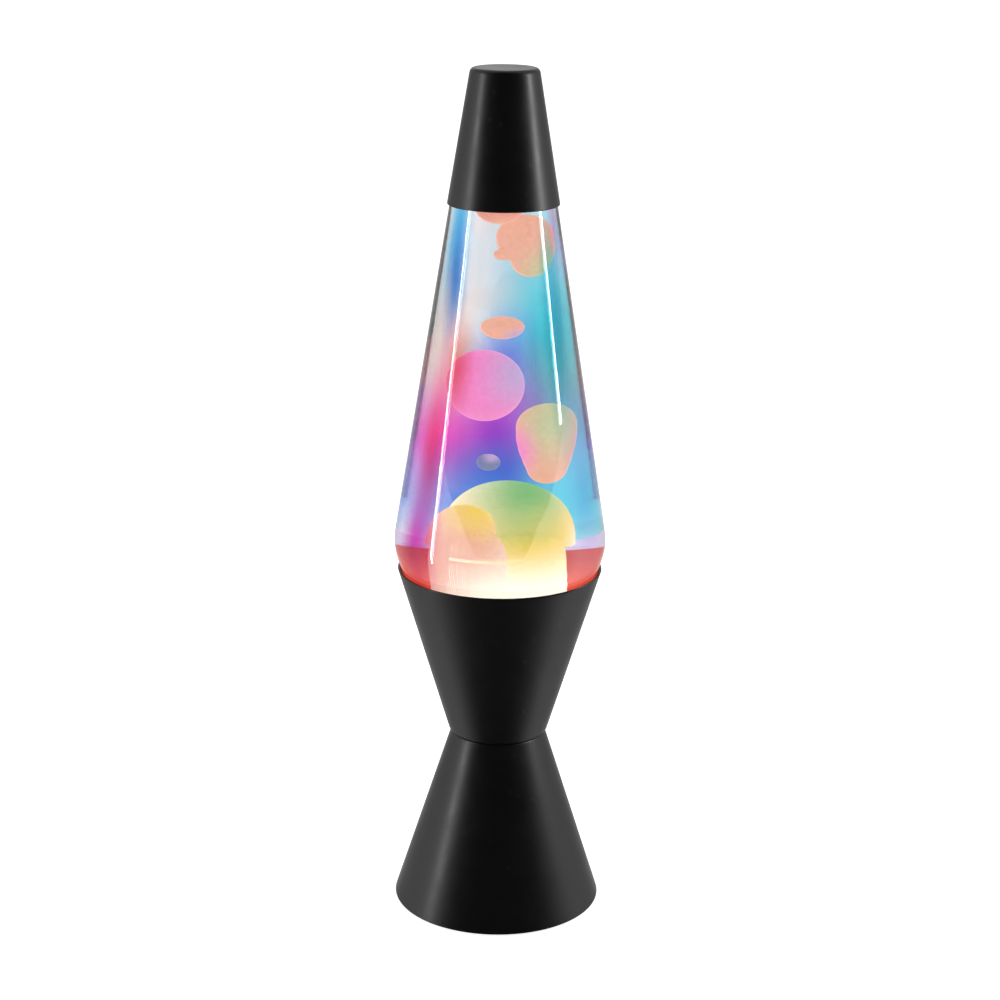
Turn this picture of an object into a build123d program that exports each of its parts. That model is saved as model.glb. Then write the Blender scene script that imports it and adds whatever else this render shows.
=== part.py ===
"""Lava lamp, 14.5 inches tall, as it comes apart on a bench.

A tapered glass globe of liquid and wax stands in a spun aluminium cup on a matching cone. The cone
hides the socket, the cup holds the bulb, and a drawn aluminium cap covers the globe's crown cap.
Millimetres, +Z up, origin on the table under the lamp's axis. -Y is the front, and the cord inlet
is at the back.
"""

import math
import os

from build123d import *

os.makedirs("parts", exist_ok=True)

# ---- Driving dimensions --------------------------------------------------------------------------

TOTAL_H = 368.0
WALL = 1.0  # spun aluminium of the cup and cone
GAP = 0.3  # clearance between pieces that move apart

CONE_FOOT_R = 45.6  # lower cone, outside
CONE_FOOT_Z = 0.8
CONE_TOP_R = 20.5
WAIST_Z = 79.6  # joint between cone and cup
CUP_WAIST_R = 21.4  # cup, outside
CUP_RIM_R = 44.2
CUP_RIM_Z = 154.5

GLASS_SLOPE = 0.1613  # radius lost per mm of height on the globe's long taper
GLASS_REF_R = 27.66  # the taper's outside radius at GLASS_REF_Z
GLASS_REF_Z = 280.0
GLASS_WALL = 2.0
GLOBE_FOOT_Z = 128.0
GLOBE_FLOOR = 4.0
PUNT = 4.5  # push-up in the globe's foot
SHOULDER_Z = 318.0
NECK_R = 12.4
NECK_BORE_R = 8.6
GLOBE_TOP_Z = 341.0
LIQUID_TOP_Z = 322.0

CAP_RIM_R = 23.5  # top cap, outside
CAP_RIM_Z = 312.2
CAP_TOP_R = 14.25
CAP_WALL = 0.7

SOCKET_R = 11.6
SOCKET_FOOT_Z = 49.2
SOCKET_TOP_Z = 83.6
SOCKET_FLOOR_Z = 60.0  # bottom of the well that takes the bulb
SCREW_RING_R = 16.6
EDISON_PITCH = 2.82  # nine turns to the inch

# ---- Shared shapes -------------------------------------------------------------------------------


def save(piece, name):
    """Labels a finished piece and writes it as one node."""
    piece.part.label = name
    export_step(piece.part, f"parts/{name}.step")


def outline(*corners):
    """A closed face from (radius, height, fillet) corners, drawn in the current sketch."""
    points = [(r, z) for r, z, _ in corners]
    with BuildLine() as edge:
        FilletPolyline(*points, radius=[fillet_r for _, _, fillet_r in corners], close=True)
    make_face(edge.edges())


def cone_r(z):
    """Outside radius of the lower cone."""
    return CONE_FOOT_R + (CONE_TOP_R - CONE_FOOT_R) * (z - CONE_FOOT_Z) / (WAIST_Z - CONE_FOOT_Z)


def cup_r(z):
    """Outside radius of the cup."""
    return CUP_WAIST_R + (CUP_RIM_R - CUP_WAIST_R) * (z - WAIST_Z) / (CUP_RIM_Z - WAIST_Z)


def cap_r(z):
    """Outside radius of the top cap."""
    return CAP_RIM_R + (CAP_TOP_R - CAP_RIM_R) * (z - CAP_RIM_Z) / (TOTAL_H - CAP_RIM_Z)


def taper_r(z):
    """Outside radius of the globe's long taper, above its widest line."""
    return GLASS_REF_R - GLASS_SLOPE * (z - GLASS_REF_Z)


CUP_WALL_R = WALL * 1.045  # the cup's wall measured along a radius
CONE_WALL_R = WALL * 1.05
CAP_WALL_R = CAP_WALL * 1.014


def nest_r(z):
    """Outside radius of the globe's lower taper, which nests in the cup."""
    return cup_r(z) - CUP_WALL_R - GAP - 0.05


cup_slope = (CUP_RIM_R - CUP_WAIST_R) / (CUP_RIM_Z - WAIST_Z)
BELLY_Z = (taper_r(0) - nest_r(0)) / (cup_slope + GLASS_SLOPE)  # where the two tapers cross


def globe_outline(inset):
    """Half section of the globe below its neck, moved inwards by inset: 0 is the outside."""
    floor = 0 if inset == 0 else GLOBE_FLOOR + inset - GLASS_WALL
    foot = GLOBE_FOOT_Z + floor
    belly = (taper_r(BELLY_Z) - 1.03 * inset, BELLY_Z)
    return [
        (0, foot + PUNT, 0),
        (19, foot + PUNT, 9),
        (27, foot, 4),
        (nest_r(GLOBE_FOOT_Z) - 1.05 * inset, foot, 5),
        (*belly, 25),
        (taper_r(SHOULDER_Z - inset) - 1.02 * inset, SHOULDER_Z - inset, 5),
    ]


# ---- Base: cone, cup and their fasteners ---------------------------------------------------------

LIP_IN_R = 41.0
SOCKET_HOLE_R = SOCKET_R + 0.6
INLET_Z = 15.0
INLET_R = 5.0
inlet_tilt = math.atan((CONE_FOOT_R - CONE_TOP_R) / (WAIST_Z - CONE_FOOT_Z))
inlet_plane = Plane(
    origin=(0, cone_r(INLET_Z), INLET_Z),
    x_dir=(1, 0, 0),
    z_dir=(0, math.cos(inlet_tilt), math.sin(inlet_tilt)),
)

with BuildPart() as lower_cone:
    with BuildSketch(Plane.XZ):
        outline(
            (CONE_FOOT_R, CONE_FOOT_Z, 0.5),
            (CONE_TOP_R, WAIST_Z, 1.4),
            (SOCKET_HOLE_R, WAIST_Z, 0),
            (SOCKET_HOLE_R, WAIST_Z - WALL, 0),
            (cone_r(WAIST_Z - WALL) - CONE_WALL_R, WAIST_Z - WALL, 0.25),
            (cone_r(CONE_FOOT_Z + WALL) - CONE_WALL_R, CONE_FOOT_Z + WALL, 0.3),
            (LIP_IN_R, CONE_FOOT_Z + WALL, 0.2),
            (LIP_IN_R, CONE_FOOT_Z, 0.2),
        )
    revolve(axis=Axis.Z)
    with Locations(Plane.XY.offset(WAIST_Z)), PolarLocations(SCREW_RING_R, 4):
        Hole(radius=1.6, depth=WALL)
    with BuildSketch(inlet_plane.offset(3)):
        Circle(INLET_R)
    extrude(amount=-8, mode=Mode.SUBTRACT)
save(lower_cone, "lower_cone")

with BuildPart() as upper_cup:
    with BuildSketch(Plane.XZ):
        outline(
            (CUP_WAIST_R, WAIST_Z, 1.6),
            (CUP_RIM_R, CUP_RIM_Z, 0.35),
            (CUP_RIM_R - CUP_WALL_R, CUP_RIM_Z, 0.35),
            (cup_r(WAIST_Z + WALL) - CUP_WALL_R, WAIST_Z + WALL, 0.6),
            (SOCKET_HOLE_R, WAIST_Z + WALL, 0),
            (SOCKET_HOLE_R, WAIST_Z, 0),
        )
    revolve(axis=Axis.Z)
    with Locations(Plane.XY.offset(WAIST_Z + WALL)), PolarLocations(SCREW_RING_R, 4):
        Hole(radius=1.6, depth=WALL)
save(upper_cup, "upper_cup")

EAR_T = 1.2  # steel of the socket bracket
EAR_Z = WAIST_Z - WALL - EAR_T
NUT_T = 2.4
SCREW_END_Z = EAR_Z - NUT_T - 0.8

with BuildPart() as base_screws:
    with BuildSketch(Plane.XY.offset(SCREW_END_Z)):
        with PolarLocations(SCREW_RING_R, 4):
            Circle(1.5)
    extrude(amount=WAIST_Z + WALL - SCREW_END_Z)
    with BuildSketch(Plane.XY.offset(WAIST_Z + WALL)):
        with PolarLocations(SCREW_RING_R, 4):
            Circle(2.75)
    extrude(amount=2.0)
    fillet(base_screws.edges().group_by(Axis.Z)[-1], 0.9)
    with BuildSketch(Plane.XY.offset(WAIST_Z + WALL + 2.0)):
        with PolarLocations(SCREW_RING_R, 4):
            Rectangle(2.6, 0.6)
            Rectangle(0.6, 2.6)
    extrude(amount=-1.1, mode=Mode.SUBTRACT)
save(base_screws, "base_screws")

with BuildPart() as base_nuts:
    with BuildSketch(Plane.XY.offset(EAR_Z)):
        with Locations((SCREW_RING_R, 0), (-SCREW_RING_R, 0)):
            RegularPolygon(2.75, 6, major_radius=False, rotation=30)
            Circle(1.55, mode=Mode.SUBTRACT)
    extrude(amount=-NUT_T)
    with BuildSketch(Plane.XY.offset(WAIST_Z - WALL)):
        with Locations((0, SCREW_RING_R), (0, -SCREW_RING_R)):
            RegularPolygon(2.75, 6, major_radius=False)
            Circle(1.55, mode=Mode.SUBTRACT)
    extrude(amount=-NUT_T)
save(base_nuts, "base_nuts")

# ---- Socket and its bracket ----------------------------------------------------------------------

BRACKET_W = 12.0
LEG_X = SOCKET_R + 0.6
EAR_X = 18.3
NIPPLE_R = 4.8
NIPPLE_BORE_R = 3.3
NIPPLE_FOOT_Z = 41.0
NIPPLE_TOP_Z = 56.0
WASHER_T = 1.2
LOCKNUT_T = 3.2

with BuildPart() as socket_bracket:
    with BuildSketch(Plane.XZ):
        outline(
            (-EAR_X, EAR_Z + EAR_T, 0),
            (-LEG_X, EAR_Z + EAR_T, 0.4),
            (-LEG_X, SOCKET_FOOT_Z, 0.4),
            (LEG_X, SOCKET_FOOT_Z, 0.4),
            (LEG_X, EAR_Z + EAR_T, 0.4),
            (EAR_X, EAR_Z + EAR_T, 0),
            (EAR_X, EAR_Z, 0),
            (LEG_X + EAR_T, EAR_Z, 0.4),
            (LEG_X + EAR_T, SOCKET_FOOT_Z - EAR_T, 1.4),
            (-LEG_X - EAR_T, SOCKET_FOOT_Z - EAR_T, 1.4),
            (-LEG_X - EAR_T, EAR_Z, 0.4),
            (-EAR_X, EAR_Z, 0),
        )
    extrude(amount=BRACKET_W / 2, both=True)
    with Locations(Plane.XY.offset(EAR_Z + EAR_T)):
        with Locations((SCREW_RING_R, 0), (-SCREW_RING_R, 0)):
            Hole(radius=1.6, depth=EAR_T)
    with Locations(Plane.XY.offset(SOCKET_FOOT_Z)):
        Hole(radius=NIPPLE_R + 0.1, depth=EAR_T)
save(socket_bracket, "socket_bracket")

with BuildPart() as threaded_nipple:
    with BuildSketch(Plane.XZ):
        outline(
            (NIPPLE_BORE_R, NIPPLE_FOOT_Z, 0),
            (NIPPLE_R, NIPPLE_FOOT_Z, 0.5),
            (NIPPLE_R, NIPPLE_TOP_Z, 0.5),
            (NIPPLE_BORE_R, NIPPLE_TOP_Z, 0),
        )
    revolve(axis=Axis.Z)
save(threaded_nipple, "threaded_nipple")

with BuildPart() as lock_washer:
    with BuildSketch(Plane.XY.offset(SOCKET_FOOT_Z - EAR_T)):
        Circle(8.0)
        Circle(NIPPLE_R + 0.15, mode=Mode.SUBTRACT)
        with PolarLocations(8.0, 10):
            Rectangle(1.8, 1.2, mode=Mode.SUBTRACT)
    extrude(amount=-WASHER_T)
save(lock_washer, "lock_washer")

with BuildPart() as nipple_nut:
    with BuildSketch(Plane.XY.offset(SOCKET_FOOT_Z - EAR_T - WASHER_T)):
        RegularPolygon(7.0, 6, major_radius=False)
        Circle(NIPPLE_R + 0.05, mode=Mode.SUBTRACT)
    extrude(amount=-LOCKNUT_T)
    chamfer(nipple_nut.faces().sort_by(Axis.Z)[0].outer_wire().edges(), 0.5)
save(nipple_nut, "nipple_nut")

WELL_R = 9.9
CONTACT_R = 3.4
WIRE_R = 0.9
LEAD_X = 1.4

with BuildPart() as socket_body:
    with BuildSketch(Plane.XZ):
        outline(
            (NIPPLE_R + 0.1, SOCKET_FOOT_Z, 0),
            (SOCKET_R, SOCKET_FOOT_Z, 1.5),
            (SOCKET_R, SOCKET_TOP_Z, 0.8),
            (WELL_R, SOCKET_TOP_Z, 0.4),
            (WELL_R, SOCKET_FLOOR_Z, 0.3),
            (0, SOCKET_FLOOR_Z, 0),
            (0, NIPPLE_TOP_Z + 0.2, 0),
            (NIPPLE_R + 0.1, NIPPLE_TOP_Z + 0.2, 0),
        )
    revolve(axis=Axis.Z)
    with BuildSketch(Plane.XY.offset(SOCKET_FLOOR_Z)):
        with Locations((LEAD_X, 0), (-LEAD_X, 0)):
            Circle(WIRE_R + 0.1)
    extrude(amount=-6, mode=Mode.SUBTRACT)
save(socket_body, "socket_body")


def edison_rings(radius, depth, foot, count):
    """Zigzag of a rolled Edison thread in half section, from its foot upwards."""
    points = []
    for turn in range(count):
        low = foot + turn * EDISON_PITCH
        points += [(radius - depth, low), (radius, low + EDISON_PITCH / 2)]
    return points + [(radius - depth, foot + count * EDISON_PITCH)]


SHELL_T = 0.35
SOCKET_THREAD_R = 9.4
BULB_THREAD_R = 8.4

with BuildPart() as socket_shell:
    with BuildSketch(Plane.XZ):
        inner = edison_rings(SOCKET_THREAD_R - SHELL_T, 0.35, SOCKET_FLOOR_Z + 3.0, 6)
        outer = [(r + SHELL_T, z) for r, z in reversed(inner)]
        floor_in = SOCKET_FLOOR_Z + SHELL_T
        with BuildLine():
            Polyline(
                (5.2, floor_in),
                (inner[0][0], floor_in),
                *inner,
                *outer,
                (outer[-1][0], SOCKET_FLOOR_Z),
                (5.2, SOCKET_FLOOR_Z),
                close=True,
            )
        make_face()
    revolve(axis=Axis.Z)
save(socket_shell, "socket_shell")

with BuildPart() as socket_contact:
    with BuildSketch(Plane.XY.offset(SOCKET_FLOOR_Z)):
        Circle(CONTACT_R)
    extrude(amount=0.35)
save(socket_contact, "socket_contact")

# ---- Wires that stay inside the base -------------------------------------------------------------

COVER_FOOT_Z = CONE_FOOT_Z + WALL + 0.1
COVER_T = 2.0
CRIMP_R = 3.2
CRIMP_L = 13.0
CRIMP_Z = COVER_FOOT_Z + COVER_T + CRIMP_R + 0.1
CRIMP_Y = 19.0


def lead_path(side):
    """Route of one socket lead: down the nipple, then back along the floor to its crimp cap."""
    return [
        (side * LEAD_X, 0, SOCKET_FLOOR_Z),
        (side * LEAD_X, 0, NIPPLE_FOOT_Z - 8),
        (side * 3.2, 1.5, 20),
        (side * 5.4, 6, CRIMP_Z + 1.2),
        (side * 6.2, CRIMP_Y + 3, CRIMP_Z),
    ]


def lead(side):
    """One insulated socket lead, as a tube of straight runs and tangent arcs."""
    with BuildPart() as wire:
        with BuildLine() as route:
            FilletPolyline(*lead_path(side), radius=[0, 12, 9, 5, 0][1:4])
        with BuildSketch(Plane(origin=route.line @ 0, z_dir=route.line % 0)):
            Circle(WIRE_R)
        sweep(path=route.line)
    return wire


save(lead(1), "socket_lead_black")
save(lead(-1), "socket_lead_white")

with BuildPart() as crimp_caps:
    with BuildSketch(Plane.XZ.offset(-CRIMP_Y)):
        with Locations((6.15, CRIMP_Z), (-6.15, CRIMP_Z)):
            Circle(CRIMP_R)
    extrude(amount=-CRIMP_L)
    fillet(crimp_caps.edges().group_by(Axis.Y)[-1], 2.2)
    with BuildSketch(Plane.XZ.offset(-CRIMP_Y)):
        with Locations((6.15, CRIMP_Z), (-6.15, CRIMP_Z)):
            Circle(WIRE_R + 0.25)
    extrude(amount=-5, mode=Mode.SUBTRACT)
save(crimp_caps, "crimp_caps")

# ---- Cord inlet, bottom cover and feet -----------------------------------------------------------

CORD_BORE_R = 3.0
BUSHING_IN = 7.0
BUSHING_OUT = 1.8

with BuildPart() as cord_bushing:
    with BuildSketch(inlet_plane.offset(0.05)):
        Circle(7.2)
    extrude(amount=BUSHING_OUT)
    fillet(cord_bushing.edges().sort_by(Axis.Y)[-1], 0.8)
    with BuildSketch(inlet_plane.offset(0.05)):
        Circle(INLET_R - 0.05)
    extrude(amount=-BUSHING_IN)
    with BuildSketch(inlet_plane.offset(-1.9)):
        Circle(INLET_R + 0.6)
        Rectangle(5, 20, mode=Mode.INTERSECT)
    extrude(amount=-2.4, taper=14)
    with BuildSketch(inlet_plane.offset(BUSHING_OUT + 1)):
        Circle(CORD_BORE_R)
    extrude(amount=-BUSHING_IN - BUSHING_OUT - 2, mode=Mode.SUBTRACT)
save(cord_bushing, "cord_bushing")

with BuildPart() as bottom_cover:
    with BuildSketch(Plane.XY.offset(COVER_FOOT_Z)):
        Circle(43.0)
    extrude(amount=COVER_T)
    chamfer(bottom_cover.edges().group_by(Axis.Z)[-1], 0.5)
save(bottom_cover, "bottom_cover")

FOOT_RING_R = 33.5

with BuildPart() as foot_pads:
    with BuildSketch():
        with PolarLocations(FOOT_RING_R, 4, start_angle=45):
            Circle(5.5)
    extrude(amount=COVER_FOOT_Z)
    chamfer(foot_pads.edges().group_by(Axis.Z)[0], 0.4)
save(foot_pads, "foot_pads")

# ---- Bulb: S11 envelope on an E17 base -----------------------------------------------------------

BULB_FOOT_Z = SOCKET_FLOOR_Z + 0.6
BULB_SHELL_Z = 64.6
BULB_SHELL_TURNS = 4
BULB_SHELL_TOP_Z = BULB_SHELL_Z + BULB_SHELL_TURNS * EDISON_PITCH
BULB_HEAD_R = 17.2
BULB_TOP_Z = 118.0
BULB_NECK_R = 7.4
BULB_GLASS_T = 0.7

with BuildPart() as bulb_contact:
    with BuildSketch(Plane.XZ):
        outline(
            (0, BULB_FOOT_Z, 0),
            (2.8, BULB_FOOT_Z, 0.8),
            (2.8, BULB_FOOT_Z + 1.2, 0),
            (0, BULB_FOOT_Z + 1.2, 0),
        )
    revolve(axis=Axis.Z)
save(bulb_contact, "bulb_contact")

with BuildPart() as bulb_insulator:
    with BuildSketch(Plane.XZ):
        outline(
            (0, BULB_FOOT_Z + 1.2, 0),
            (4.2, BULB_FOOT_Z + 1.2, 0.6),
            (7.2, BULB_SHELL_Z - 0.6, 0.4),
            (7.2, BULB_SHELL_Z + 0.5, 0),
            (0, BULB_SHELL_Z + 0.5, 0),
        )
    revolve(axis=Axis.Z)
save(bulb_insulator, "bulb_insulator")

with BuildPart() as bulb_screw_shell:
    with BuildSketch(Plane.XZ):
        outer = edison_rings(BULB_THREAD_R, 0.5, BULB_SHELL_Z, BULB_SHELL_TURNS)
        inner = [(r - SHELL_T, z) for r, z in reversed(outer)]
        with BuildLine():
            Polyline(
                *outer,
                (outer[-1][0], BULB_SHELL_TOP_Z + 4.5),
                (inner[0][0], BULB_SHELL_TOP_Z + 4.5),
                *inner,
                close=True,
            )
        make_face()
    revolve(axis=Axis.Z)
save(bulb_screw_shell, "bulb_screw_shell")


def bulb_outline(inset):
    """Half section of the bulb's envelope, moved inwards by inset."""
    foot = BULB_SHELL_TOP_Z - 2 + inset * 0.9
    head_r = BULB_HEAD_R - inset
    top = BULB_TOP_Z - inset
    return [
        (0, foot, 0),
        (BULB_NECK_R - inset, foot, 0.8),
        (BULB_NECK_R - inset, 84, 7),
        (head_r, 96.5, 10),
        (head_r, top, head_r - 0.3),
        (0, top, 0),
    ]


with BuildPart() as bulb_glass:
    with BuildSketch(Plane.XZ):
        outline(*bulb_outline(0))
    revolve(axis=Axis.Z)
    with BuildSketch(Plane.XZ):
        outline(*bulb_outline(BULB_GLASS_T))
    revolve(axis=Axis.Z, mode=Mode.SUBTRACT)
save(bulb_glass, "bulb_glass")

STEM_FOOT_Z = BULB_SHELL_TOP_Z - 2 + BULB_GLASS_T
STEM_TOP_Z = 91.0
FILAMENT_Z = 100.0
FILAMENT_X = 7.0
LEAD_WIRE_R = 0.3

with BuildPart() as bulb_stem:
    with BuildSketch(Plane.XZ):
        outline(
            (0, STEM_FOOT_Z, 0),
            (5.6, STEM_FOOT_Z, 0.4),
            (2.4, STEM_FOOT_Z + 7, 4),
            (2.0, STEM_TOP_Z, 0.8),
            (0, STEM_TOP_Z, 0),
        )
    revolve(axis=Axis.Z)
save(bulb_stem, "bulb_stem")

with BuildPart() as bulb_lead_wires:
    for side in (-1, 1):
        with BuildLine() as wire_route:
            FilletPolyline(
                (side * 1.2, 0, STEM_TOP_Z),
                (side * 1.2, 0, STEM_TOP_Z + 3),
                (side * FILAMENT_X, 0, FILAMENT_Z),
                radius=[1.5],
            )
        with BuildSketch(Plane(origin=wire_route.line @ 0, z_dir=wire_route.line % 0)):
            Circle(LEAD_WIRE_R)
        sweep(path=wire_route.line)
save(bulb_lead_wires, "bulb_lead_wires")

with BuildPart() as bulb_filament:
    filament_foot = FILAMENT_Z + LEAD_WIRE_R + 0.25
    with BuildLine() as arch:
        ThreePointArc(
            (-FILAMENT_X, 0, filament_foot),
            (0, 0, filament_foot + 4),
            (FILAMENT_X, 0, filament_foot),
        )
    with BuildSketch(Plane(origin=arch.line @ 0, z_dir=arch.line % 0)):
        Circle(0.35)
    sweep(path=arch.line)
save(bulb_filament, "bulb_filament")

# ---- Globe: glass, crown cap and liner -----------------------------------------------------------

with BuildPart() as globe_glass:
    with BuildSketch(Plane.XZ):
        outline(
            *globe_outline(0),
            (NECK_R, SHOULDER_Z + 7, 4),
            (NECK_R, 335.5, 0.8),
            (NECK_R + 0.9, 336.5, 0.8),
            (NECK_R + 0.9, 338.5, 0.8),
            (NECK_R - 0.4, GLOBE_TOP_Z, 1.2),
            (0, GLOBE_TOP_Z, 0),
        )
    revolve(axis=Axis.Z)
    with BuildSketch(Plane.XZ):
        outline(
            *globe_outline(GLASS_WALL),
            (NECK_BORE_R, SHOULDER_Z + 4, 5),
            (NECK_BORE_R, GLOBE_TOP_Z, 0),
            (0, GLOBE_TOP_Z, 0),
        )
    revolve(axis=Axis.Z, mode=Mode.SUBTRACT)
save(globe_glass, "globe_glass")

CROWN_FLUTES = 21
CROWN_T = 0.4
LINER_T = 0.6

with BuildPart() as cap_liner:
    with BuildSketch(Plane.XY.offset(GLOBE_TOP_Z)):
        Circle(12.2)
    extrude(amount=LINER_T)
save(cap_liner, "cap_liner")

with BuildPart() as crown_cap:
    crown_z = GLOBE_TOP_Z + LINER_T
    with BuildSketch(Plane.XZ):
        outline(
            (0, crown_z, 0),
            (13.5, crown_z, 1.0),
            (13.9, crown_z - 5.4, 0),
            (15.6, crown_z - 6.0, 0.2),
            (14.4, crown_z + CROWN_T, 1.6),
            (0, crown_z + CROWN_T, 0),
        )
    revolve(axis=Axis.Z)
    with BuildSketch(Plane.XY.offset(crown_z - 7)):
        with PolarLocations(16.2, CROWN_FLUTES):
            Circle(1.3)
    extrude(amount=6.2, mode=Mode.SUBTRACT)
save(crown_cap, "crown_cap")

# ---- Top cap -------------------------------------------------------------------------------------

with BuildPart() as top_cap:
    with BuildSketch(Plane.XZ):
        outline(
            (CAP_RIM_R, CAP_RIM_Z, 0.3),
            (CAP_TOP_R, TOTAL_H, 2.2),
            (0, TOTAL_H, 0),
            (0, TOTAL_H - CAP_WALL, 0),
            (cap_r(TOTAL_H - CAP_WALL) - CAP_WALL_R, TOTAL_H - CAP_WALL, 1.5),
            (CAP_RIM_R - CAP_WALL_R, CAP_RIM_Z, 0.3),
        )
    revolve(axis=Axis.Z)
save(top_cap, "top_cap")

# ---- Wire coil in the foot of the globe ----------------------------------------------------------

COIL_TURNS = 18
COIL_RING_R = 25.0
COIL_R = 3.6
COIL_WIRE_R = 0.5
COIL_Z = GLOBE_FOOT_Z + GLOBE_FLOOR + PUNT + COIL_R + COIL_WIRE_R + 0.6
COIL_SPREAD = 350.0  # degrees of the ring that the coil goes round

coil_points = []
for corner in range(4 * COIL_TURNS):
    around = math.radians(COIL_SPREAD * corner / (4 * COIL_TURNS))
    radius = COIL_RING_R + COIL_R * math.cos(corner * math.pi / 2)
    height = COIL_Z + COIL_R * math.sin(corner * math.pi / 2)
    coil_points.append((radius * math.cos(around), radius * math.sin(around), height))

with BuildPart() as wire_coil:
    with BuildLine() as coil_route:
        FilletPolyline(*coil_points, radius=COIL_R * 0.62)
    with BuildSketch(Plane(origin=coil_route.line @ 0, z_dir=coil_route.line % 0)):
        Circle(COIL_WIRE_R)
    sweep(path=coil_route.line)
save(wire_coil, "wire_coil")

# ---- Wax and liquid ------------------------------------------------------------------------------

FILM = 0.25  # liquid between a piece of wax and its neighbours
QUARTER = 0.5523  # handle length, as a share of the radius, that makes a curve a quarter ellipse
POOL_Z = 165.8  # height of the pool's surface on the globe's axis
POOL_BANK = 0.25  # rise of that surface towards the front, per unit of length
MOUND = (2.6, -4.0, 22.0)  # centre x, centre y, radius
MOUND_TOP_Z = 194.4
MOUND_DOME = 26.4  # height of the dome on the mound
SPILL_Z = 178.0  # top of the wax that reaches from the mound to the front of the glass
SPILL_LEFT = -12.5
SPILL_RIGHT = 29.6
SPILL_REACH = 60.0
LOBE = (-12.5, -26.0, 16.5)
LOBE_TOP_Z = 189.2
LOBE_DOME = 21.0


def drop(centre, radius, low, high, widest, grow=0.0):
    """Adds one wax drop, turned about the upright line through its centre (x, y)."""
    radius, low, high = radius + grow, low - grow, high + grow
    reach = radius * QUARTER
    plane = Plane(origin=(*centre, 0), x_dir=(1, 0, 0), z_dir=(0, -1, 0))
    with BuildSketch(plane) as section:
        with BuildLine():
            Bezier((0, low), (reach, low), (radius, widest - (widest - low) * QUARTER), (radius, widest))
            Bezier((radius, widest), (radius, widest + (high - widest) * QUARTER), (reach, high), (0, high))
            Line((0, high), (0, low))
        make_face()
    revolve(section.sketch, axis=Axis(origin=(*centre, 0), direction=(0, 0, 1)))


# Name: centre (x, y), radius, lowest, highest and widest height.
DROPS = {
    "wax_cloud": ((7.0, 2.0), 9.3, 281.5, 308.0, 295.5),
    "wax_satellite": ((-1.7, -9.0), 2.4, 288.9, 294.3, 291.5),
    "wax_ball": ((-6.1, -15.0), 14.3, 224.0, 253.8, 238.9),
    "wax_pear": ((14.6, 0.0), 10.3, 192.3, 228.0, 214.0),
    "wax_disc": ((0.0, 12.0), 6.0, 252.9, 262.5, 257.7),
    "wax_bead": ((-3.2, 24.0), 3.1, 192.5, 200.1, 196.3),
}
TOP_WAX = ((-1.5, -6.0), 8.6, 304.6, 320.0, 312.0)

for name, sizes in DROPS.items():
    with BuildPart() as wax_drop:
        drop(*sizes)
    save(wax_drop, name)

with BuildPart() as bore:
    with BuildSketch(Plane.XZ):
        outline(
            *globe_outline(GLASS_WALL + 0.1),
            (NECK_BORE_R - 0.1, SHOULDER_Z + 4, 5),
            (NECK_BORE_R - 0.1, LIQUID_TOP_Z + 6, 0),
            (0, LIQUID_TOP_Z + 6, 0),
        )
    revolve(axis=Axis.Z)
    split(bisect_by=Plane.XY.offset(LIQUID_TOP_Z), keep=Keep.BOTTOM)
bore_solid = bore.part

with BuildPart() as top_wax:
    drop(*TOP_WAX)
    add(bore_solid, mode=Mode.INTERSECT)
save(top_wax, "top_wax")


def dome(centre_x, centre_y, radius, top, height, grow=0.0):
    """Adds a column of wax with an elliptical dome, from below the globe's floor to its top."""
    radius, top = radius + grow, top + grow
    plane = Plane(origin=(centre_x, centre_y, 0), x_dir=(1, 0, 0), z_dir=(0, -1, 0))
    with BuildSketch(plane) as section:
        with BuildLine():
            low = top - height
            Bezier((radius, low), (radius, low + height * QUARTER), (radius * QUARTER, top), (0, top))
            Line((0, top), (0, GLOBE_FOOT_Z))
            Line((0, GLOBE_FOOT_Z), (radius, GLOBE_FOOT_Z))
            Line((radius, GLOBE_FOOT_Z), (radius, low))
        make_face()
    revolve(section.sketch, axis=Axis(origin=(centre_x, centre_y, 0), direction=(0, 0, 1)))


def spill(grow=0.0):
    """Adds the wax between the mound and the front of the glass."""
    low = GLOBE_FOOT_Z
    with BuildSketch(Plane.XY.offset(low)) as floor:
        with Locations(((SPILL_LEFT + SPILL_RIGHT) / 2, MOUND[1])):
            Rectangle(SPILL_RIGHT - SPILL_LEFT + 2 * grow, SPILL_REACH, align=(Align.CENTER, Align.MAX))
    extrude(floor.sketch, amount=SPILL_Z + grow - low)


def pool_surface(above=0.0):
    """The plane of the pool's surface, raised by above."""
    return Plane(origin=(0, 0, POOL_Z + above), z_dir=(0, POOL_BANK, 1))


def coil_room(extra):
    """Cuts the ring-shaped room that the wire coil lies in."""
    with Locations((0, 0, COIL_Z)):
        Torus(COIL_RING_R, COIL_R + COIL_WIRE_R + extra, mode=Mode.SUBTRACT)


with BuildPart() as wax_lobe:
    dome(*LOBE, LOBE_TOP_Z, LOBE_DOME)
    add(bore_solid, mode=Mode.INTERSECT)
    coil_room(0.3)
save(wax_lobe, "wax_lobe")

with BuildPart() as lobe_room:
    dome(*LOBE, LOBE_TOP_Z, LOBE_DOME, FILM)

with BuildPart() as wax_mound:
    dome(*MOUND, MOUND_TOP_Z, MOUND_DOME)
    spill()
    add(bore_solid, mode=Mode.INTERSECT)
    add(lobe_room.part, mode=Mode.SUBTRACT)
    coil_room(0.3)
save(wax_mound, "wax_mound")

with BuildPart() as mound_room:
    dome(*MOUND, MOUND_TOP_Z, MOUND_DOME, FILM)
    spill(FILM)

with BuildPart() as wax_pool:
    add(bore_solid)
    split(bisect_by=pool_surface(), keep=Keep.BOTTOM)
    add(mound_room.part, mode=Mode.SUBTRACT)
    add(lobe_room.part, mode=Mode.SUBTRACT)
    coil_room(0.3)
save(wax_pool, "wax_pool")

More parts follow.
